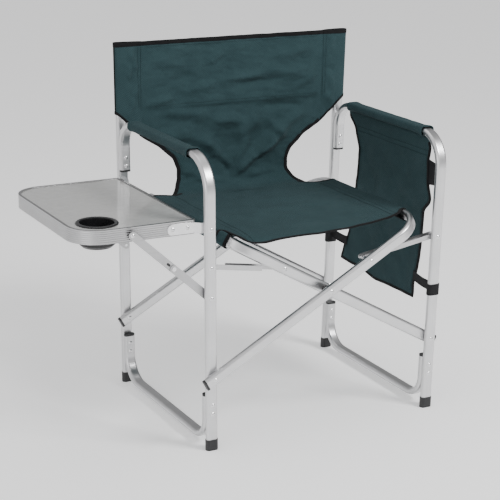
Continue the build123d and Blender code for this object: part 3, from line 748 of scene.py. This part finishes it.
# ---- seat ----
rail_x, rail_z = 226.05, 444.39
rail_n = Vector((-sin(rest_slope), cos(rest_slope)))
rail_d = Vector((cos(rest_slope), sin(rest_slope)))
corner = 6.0
seat_sag = 444.5
front_table = [(-226, -6), (-194, -13), (-122, -10), (-27, -4), (35, 2), (120, 11), (170, 20), (213, 36),
               (226, 46)]
rear_table = [(-232, 385), (-206, 386), (-175, 384), (-150, 404), (150, 404), (172, 362), (206, 354),
              (232, 355)]
seat_folds = [
    (-200, 60, -90, 40, 1.0, 12), (-190, 330, -60, 392, 1.6, 14), (60, 396, 200, 340, 1.6, 14),
    (-120, 200, 120, 215, 0.8, 18), (0, 398, 60, 330, 1.2, 14), (-20, 398, -90, 340, 1.2, 14),
    (150, 60, 60, 20, 0.9, 14), (-150, 120, 40, 140, -0.8, 16), (20, 280, 190, 262, 0.7, 14),
]


def seat_profile():
    """Across one half: (distance from the mid-plane, height, share that wraps the rail)."""
    n, d, r = Vector((rail_n.x, rail_n.y)), Vector((rail_d.x, rail_d.y)), corner + 1.05
    centre = Vector((rail_x, rail_z))
    c1, c2, c3 = centre + 6.5 * n + d, centre - 6.5 * n + d, centre - 6.5 * n - d
    points = []
    arcs = ((c1, 97, 29.3), (c2, 29.3, -60.7), (c3, -60.7, -118))
    first = c1 + r * Vector((cos(radians(97)), sin(radians(97))))
    steps = 44
    for k in range(steps):
        x = first.x * k / steps
        points.append((x, seat_sag + (first.y - seat_sag) * (x / first.x) ** 2, 0.0))
    for arc_centre, a0, a1 in arcs:
        for k in range(7):
            angle = radians(a0 + (a1 - a0) * k / 6)
            points.append((arc_centre.x + r * cos(angle), arc_centre.y + r * sin(angle), 1.0))
    end = points[-1]
    hem = (188.0, seat_sag + (first.y - seat_sag) * (188 / first.x) ** 2 - 2.6)
    for k in range(1, 9):
        points.append((end[0] + (hem[0] - end[0]) * k / 8, end[1] + (hem[1] - end[1]) * k / 8, 1.0))
    return points


profile = seat_profile()
flat_end = profile[43][0]                                 # where the flat cloth meets the rail
sleeve_ends = {1: (50.0, 354.0), -1: (62.0, 386.0)}       # front and rear of each rail's sleeve
ease_x = 196                                              # the edge starts to ease into the sleeve
for side, label in ((-1, "left"), (1, "right")):
    rows, levels = [], 84
    for i in range(levels + 1):
        row = []
        for x, z, wrapped in profile:
            place = side * min(x, 232)
            front = smooth_table(front_table, place, 8.0)
            rear = smooth_table(rear_table, place, 6.0)
            if wrapped:
                front, rear = sleeve_ends[side]
            elif x > ease_x:
                blend = (x - ease_x) / (flat_end - ease_x)
                front += (sleeve_ends[side][0] - front) * blend ** 2
            y = front + (rear - front) * i / levels
            wave = 0.0
            if not wrapped:
                loose = min(1.0, (226 - x) / 40)
                wave = (folds(side * x, y, seat_folds) + crinkle((side * x, y, 0), 40, 1.1)) * max(loose, 0)
                wave += 3.0 * max(0.0, (y - 385) / 20) ** 2 * (1 if x < 150 else 0)
                if side < 0:     # the free corner hangs in front of the rail's bend
                    wave -= 9.0 * exp(-((y + 10) / 20) ** 2) * exp(-((x - 165) / 42) ** 2)
                wave -= 0.7 * exp(-((x - 190) / 2.2) ** 2)
            row.append(at(side * x, y, z + wave))
        rows.append(row if side > 0 else row[::-1])
    half_cloth, flat, area = sheet_piece(f"seat_cloth_{label}", rows, 0.0014)
    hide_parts(f"seat_panel_{label}", f"seat_sleeve_{label}")
    trims = []
    for end_name, i, i2 in (("front", 0, 1), ("rear", levels, levels - 1)):
        columns = range(len(rows[0]))
        if end_name == "rear":
            wraps = [p[2] for p in (profile if side > 0 else profile[::-1])]
            columns = [j for j in columns if abs(rows[i][j].x - mid_x) > 0.150 or wraps[j]]
        picks = [(i, j) for j in columns]
        path, inward, normals = square_run(rows, picks, [(i2, j) for _, j in picks])
        trims.append(tape(f"seat_binding_{end_name}_{label}", path, inward, normals, 7.0, 2.8))
    seat_normals = grid_normals(rows)
    runs = []
    for target in (184.0, 190.0):
        flat_columns = (n for n in range(len(profile)) if profile[n][2] == 0)
        column = min(flat_columns, key=lambda n: abs(profile[n][0] - target))
        column = column if side > 0 else len(profile) - 1 - column
        facing = [seat_normals[i][column] for i in range(2, levels - 1)]
        facing = [n if n.z > 0 else -n for n in facing]
        path = [rows[i][column] + n * 0.0009 for i, n in zip(range(2, levels - 1), facing)]
        shift = Vector(((target - 187.0) / 1000 * side, 0, 0)) * 0.5
        runs.append(([p + shift for p in path], facing))
    trims.append(stitches(f"seat_stitching_{label}", runs))
    start, end = at(side * 205, 200, 450), at(side * 165, 200, 446)
    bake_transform(half_cloth)
    for trim in trims:
        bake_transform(trim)

# ---- pouch ----
pouch_x = (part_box("pouch_panel")[0].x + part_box("pouch_panel")[1].x) * 500 - mid_x * 1000
pouch_front = [(233, 86), (243, 85), (278, 82), (300, 72), (364, 62), (423, 59), (447, 57), (467, 36),
               (480, 34), (511, 47), (563, 47), (591, 43), (610, 52), (618, 60)]
pouch_rear = [(233, 398), (247, 398), (283, 386), (322, 366), (434, 346), (465, 339), (531, 334), (580, 355),
              (600, 380), (618, 384)]
pouch_bottom = [(85, 234), (140, 234), (225, 231), (288, 242), (337, 241), (398, 246)]
pouch_folds = [
    (120, 560, 200, 420, 3.5, 20), (330, 560, 250, 440, 3.0, 18), (80, 470, 180, 400, 3.5, 14),
    (60, 440, 200, 470, 2.5, 16), (110, 300, 220, 360, 2.5, 18), (340, 300, 240, 350, 2.0, 16),
    (90, 380, 130, 260, 2.5, 14), (250, 240, 280, 330, 1.8, 14), (150, 540, 160, 480, -2.5, 14),
]


def pouch_point(y, z, out=0.0):
    sway = folds(y, z, pouch_folds) + crinkle((y, z, 7), 45, 2.2) + crinkle((y, z, 3), 17, 0.8)
    hold = min(1.0, max(0.0, (606 - z) / 40))
    return at(pouch_x + sway * hold * 0.8 + out + 0.5 * (1 - hold), y, z)


rows, levels, across = [], 110, 80
for i in range(levels + 1):
    row = []
    for j in range(across + 1):
        share = j / across
        guess = 60 + 320 * share
        foot = smooth_table(pouch_bottom, guess, 10.0)
        z = 617.0 + (foot - 617.0) * i / levels
        front, rear = smooth_table(pouch_front, z, 5.0), smooth_table(pouch_rear, z, 6.0)
        row.append(pouch_point(front + (rear - front) * share, z))
    rows.append(row)
pouch, flat, area = sheet_piece("pouch_cloth", rows, 0.0016)
fit(pouch, "right_frame")
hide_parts("pouch_panel")
trims = []
for name, di, dj, picks in (
    ("front", 0, 1, [(i, 0) for i in range(4, levels + 1)]),
    ("rear", 0, -1, [(i, across) for i in range(4, levels + 1)]),
    ("foot", -1, 0, [(levels, j) for j in range(across + 1)]),
):
    path, inward, normals = square_run(rows, picks, [(i + di, j + dj) for i, j in picks])
    trims.append(tape(f"pouch_binding_{name}", path, inward, normals, 7.0, 3.0))
runs = []
for height in (582.0, 572.0):
    path = []
    for j in range(2, across - 1):
        i = min(range(levels + 1), key=lambda i: abs(rows[i][j].z - height / 1000))
        path.append(rows[i][j] + Vector((-0.0011, 0, 0)))
    runs.append((path, [Vector((-1, 0, 0))] * len(path)))
for j, sign in ((0, 1), (across, -1)):
    path = [rows[i][j] + Vector((-0.0011, sign * 0.009, 0)) for i in range(12, levels - 3)]
    runs.append((path, [Vector((-1, 0, 0))] * len(path)))
trims.append(stitches("pouch_stitching", runs))
for trim in trims:
    fit(trim, "right_frame")

# outer pockets: bellied cloth with a bound mouth
pocket_low, pocket_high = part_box("pouch_pockets")
belly = (pocket_high.x - pocket_low.x) * 1000
pocket_names = {"lower": (252.0, 400.0, 92.0, 330.0), "upper": (425.0, 560.0, 66.0, 318.0)}
for label, (low, high, front, rear) in pocket_names.items():
    rows, levels, across = [], 40, 56
    for i in range(levels + 1):
        v = i / levels
        row = []
        for j in range(across + 1):
            u = j / across
            swell = (max(0.0, sin(pi * u)) ** 0.45) * (min(1.0, (1 - v) * 4.5 + 0.02) ** 0.6)
            mouth = 1 - 0.25 * exp(-v * 9) * sin(pi * u)
            y = front + (rear - front) * u
            z = high + (low - high) * v - 4.0 * sin(pi * u) * exp(-v * 7)
            out = 1.6 + (belly - 3.0) * swell * mouth * (0.78 + 0.22 * v)
            out += crinkle((y, z, 11), 24, 1.8) * swell
            row.append(pouch_point(y, z, out))
        rows.append(row)
    pocket, flat, area = sheet_piece(f"pouch_pocket_{label}", rows, 0.0014)
    fit(pocket, "right_frame")
    picks = [(0, j) for j in range(across + 1)]
    path, inward, normals = edge_run(rows, picks, [(1, j) for _, j in picks])
    mouth_tape = tape(f"pocket_mouth_binding_{label}", path, inward, normals, 11.0, 2.8)
    picks = (
        [(i, 0) for i in range(levels + 1)] + [(levels, j) for j in range(1, across + 1)]
        + [(i, across) for i in range(levels - 1, -1, -1)]
    )
    centre_i, centre_j = levels // 2, across // 2
    path, inward, normals = edge_run(rows, picks, [(centre_i, centre_j)] * len(picks))
    inward = [Vector((0, v.y, v.z)).normalized() for v in inward]
    edge_tape = tape(f"pocket_edge_binding_{label}", path, inward, [Vector((1, 0, 0))] * len(path), 8.0, 2.2)
    path = [p + v * 0.004 + Vector((0.0013, 0, 0)) for p, v in zip(path, inward)]
    seam = stitches(f"pocket_stitching_{label}", [(path, [Vector((1, 0, 0))] * len(path))])
    for trim in (mouth_tape, edge_tape, seam):
        fit(trim, "right_frame")
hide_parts("pouch_pockets")

# straps: webbing bands round the legs and tabs to the pouch
for label, y_leg, z_low, z_high in (("front", 0.0, 267.0, 292.0), ("rear", depth, 276.0, 304.0)):
    rows, loop = [], 40
    for i in range(7):
        z = z_low + (z_high - z_low) * i / 6
        row = []
        for k in range(loop):
            angle = 2 * pi * k / loop
            half_x, half_y, r = tube_x + 1.0, tube_y + 1.0, 6.4
            x, y = rounded(half_x, r, cos(angle)), rounded(half_y, r, sin(angle))
            row.append(at(leg_x(1, z) + x, y_leg + y, z))
        rows.append(row)
    band, flat, area = sheet_piece(f"strap_band_{label}", rows, 0.0015, black_strap, closed=True)
    fit(band, "right_frame")
    rows = []
    y0, y1 = (y_leg + tube_y + 1.0, 84.0) if label == "front" else (y_leg - tube_y - 1.0, 372.0)
    for i in range(25):
        share = i / 24
        y = y0 + (y1 - y0) * share
        sag = 3.0 * sin(pi * share) if label == "front" else 2.0 * sin(pi * share)
        drop = -4.0 * (1 - share) if label == "front" else 6.0 * (1 - share)
        row = []
        for j in range(7):
            z = (277.0 if label == "front" else 283.0) + 22.0 * j / 6 + drop - sag
            x = leg_x(1, z) + (pouch_x - 2.5 - leg_x(1, z)) * share + 1.0 * sin(pi * share) * sin(j)
            row.append(at(x, y, z))
        rows.append(row)
    tab, tab_flat, tab_area = sheet_piece(f"strap_tab_{label}", rows, 0.0015, black_strap)
    fit(tab, "right_frame")
    if label == "front":
        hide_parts("pouch_straps")
rows = []
for i in range(17):
    share = i / 16
    row = []
    for j in range(9):
        z = 512.0 + 44.0 * j / 8 + 14.0 * share * (j / 8 - 0.4)
        x = leg_x(1, z) + (pouch_x - leg_x(1, z)) * share + sin(pi * share) * 2.0
        row.append(at(x, tube_y + 0.9 + (50 - tube_y) * share, z))
    rows.append(row)
gusset, flat, area = sheet_piece("pouch_gusset", rows, 0.0012, black_strap)
fit(gusset, "right_frame")

# ---- cloth over the left rail's front bend ----
bend_radius, offset_b = 60.0, 15.0
rows, steps, loop = [], 26, 36
for i in range(steps + 1):
    turn = radians(-2 + 38 * i / steps)
    inset = bend_radius * (1 - cos(turn))
    y = offset_b + bend_radius - bend_radius * sin(turn)
    away_d, away_y = cos(turn), -sin(turn)
    centre = Vector((-rail_x, rail_z)) + Vector((rail_d.x, -rail_d.y)) * inset
    row = []
    for k in range(loop):
        angle = 2 * pi * k / loop
        half_n, half_w, r = tube_x + 1.2, tube_y + 1.2, 7.0
        grow = 1 + 0.10 * (i / steps) ** 2
        n_part = rounded(half_n, r, cos(angle)) * grow
        w_part = rounded(half_w, r, sin(angle)) * grow
        x = centre.x - rail_n.x * n_part - rail_d.x * away_d * w_part
        z = centre.y + rail_n.y * n_part + rail_d.y * away_d * w_part
        row.append(at(x, y + away_y * w_part, z))
    rows.append(row)
bend_cover, flat, area = sheet_piece("seat_corner_cover", rows, 0.0013, closed=True)
path = rows[-1]
centre = sum(path, Vector()) / loop
hem = tape("seat_corner_hem", path, [(rows[-2][k] - rows[-1][k]).normalized() for k in range(loop)],
           [(p - centre).normalized() for p in path], 7.0, 2.4, closed=True)
for piece, slot_name in ((bend_cover, "teal_fabric"), (hem, "black_webbing")):
    fit(piece, "cross_b")

# ---- locking slots beside the strut knees, low enough to clear the other strip: each is a black dish of painted shade for the slot's dark hole ----
ring = 24
for label, inward in (("front", 1), ("rear", -1)):
    low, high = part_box(f"strut_upper_{label}")
    knee_low, knee_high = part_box("knee_rivets")
    knee = Vector(((knee_low.x + knee_high.x) / 2, 0, (knee_low.z + knee_high.z) / 2))
    along = Vector((low.x - high.x, 0, high.z - low.z)).normalized()
    side_way = Vector((-along.z, 0, along.x))
    face_y = low.y if inward > 0 else high.y
    rows = []
    for grow, rise in ((1.0, 0.0), (0.96, 0.16), (0.62, 0.2), (0.5, 0.06), (0.02, 0.05)):
        row = []
        for k in range(ring):
            angle = 2 * pi * k / ring
            a = 2.6 * cos(angle) + (2.4 if cos(angle) > 0 else -2.4)
            b = 2.6 * sin(angle)
            p = knee + along * (0.0155 + a * grow / 1000) + side_way * (b * grow / 1000)
            row.append(Vector((p.x, face_y - inward * (rise + 0.05) / 1000, p.z)))
        rows.append(row)
    points = [p for row in rows for p in row]
    faces = []
    for i in range(len(rows) - 1):
        for k in range(ring):
            a, b = i * ring + k, i * ring + (k + 1) % ring
            faces.append((a, b, b + ring, a + ring))
    faces.append(tuple(range(len(points) - ring, len(points))))
    faces.append(tuple(range(ring - 1, -1, -1)))
    # the black plastic here is painted shade inside the locking slot's hole, not a separate part
    slot_shade_piece = new_object(f"knee_slot_shade_{label}", points, faces, [(p.x, p.z) for p in points], black_plastic)
    fit(slot_shade_piece, "strut_upper")

# ---- floor and light ----
floor_mesh = bpy.data.meshes.new("floor")
reach = 40.0     # metres to each side
floor_points = [(-reach, -reach, 0), (reach, -reach, 0), (reach, reach, 0), (-reach, reach, 0)]
floor_mesh.from_pydata(floor_points, [], [(0, 1, 2, 3)])
floor = bpy.data.objects.new("floor", floor_mesh)
bpy.context.scene.collection.objects.link(floor)
floor_material = Nodes("pale_floor")
floor_material.set(Base_Color=(0.92, 0.92, 0.92, 1), Roughness=0.9, Specular_IOR_Level=0.1)
floor_material.set(Emission_Color=(1, 1, 1, 1), Emission_Strength=0.35)
floor_mesh.materials.append(floor_material.material)

world = bpy.data.worlds.new("studio")
bpy.context.scene.world = world
world.use_nodes = True
sky = world.node_tree
background = sky.nodes["Background"]
background.inputs["Strength"].default_value = 0.85
# a wide gradient, bright on the table's side and dim on the pouch's
place, turned, split, span, ramp = (
    sky.nodes.new("ShaderNode" + kind)
    for kind in ("TexCoord", "VectorRotate", "SeparateXYZ", "MapRange", "ValToRGB")
)
turned.rotation_type = "Z_AXIS"
turned.inputs["Angle"].default_value = radians(-20)
span.inputs["From Min"].default_value = -1.0
for source, target in (
    (place.outputs["Generated"], turned.inputs["Vector"]), (turned.outputs[0], split.inputs[0]),
    (split.outputs[0], span.inputs["Value"]), (span.outputs["Result"], ramp.inputs["Fac"]),
    (ramp.outputs["Color"], background.inputs["Color"]),
):
    sky.links.new(source, target)
for element, (position, level) in zip(ramp.color_ramp.elements, ((0.0, 1.40), (1.0, 0.20))):
    element.position, element.color = position, (level, level, level * 1.01, 1)


def softbox(name, place, aim, size, power):
    light_data = bpy.data.lights.new(name, "AREA")
    light_data.shape, light_data.size, light_data.size_y = "RECTANGLE", size[0], size[1]
    light_data.energy = power
    light = bpy.data.objects.new(name, light_data)
    bpy.context.scene.collection.objects.link(light)
    light.location = place
    light.rotation_mode = "QUATERNION"
    light.rotation_quaternion = (Vector(aim) - Vector(place)).to_track_quat("-Z", "Y")


softbox("key", (1.7, -2.3, 2.9), (0.1, 0.1, 0.5), (1.1, 1.1), 115)
softbox("fill", (-2.6, -1.6, 1.2), (0.1, 0, 0.4), (1.8, 1.8), 12)
softbox("top", (0.2, 0.6, 3.2), (0.1, 0, 0.4), (2.0, 2.0), 12)
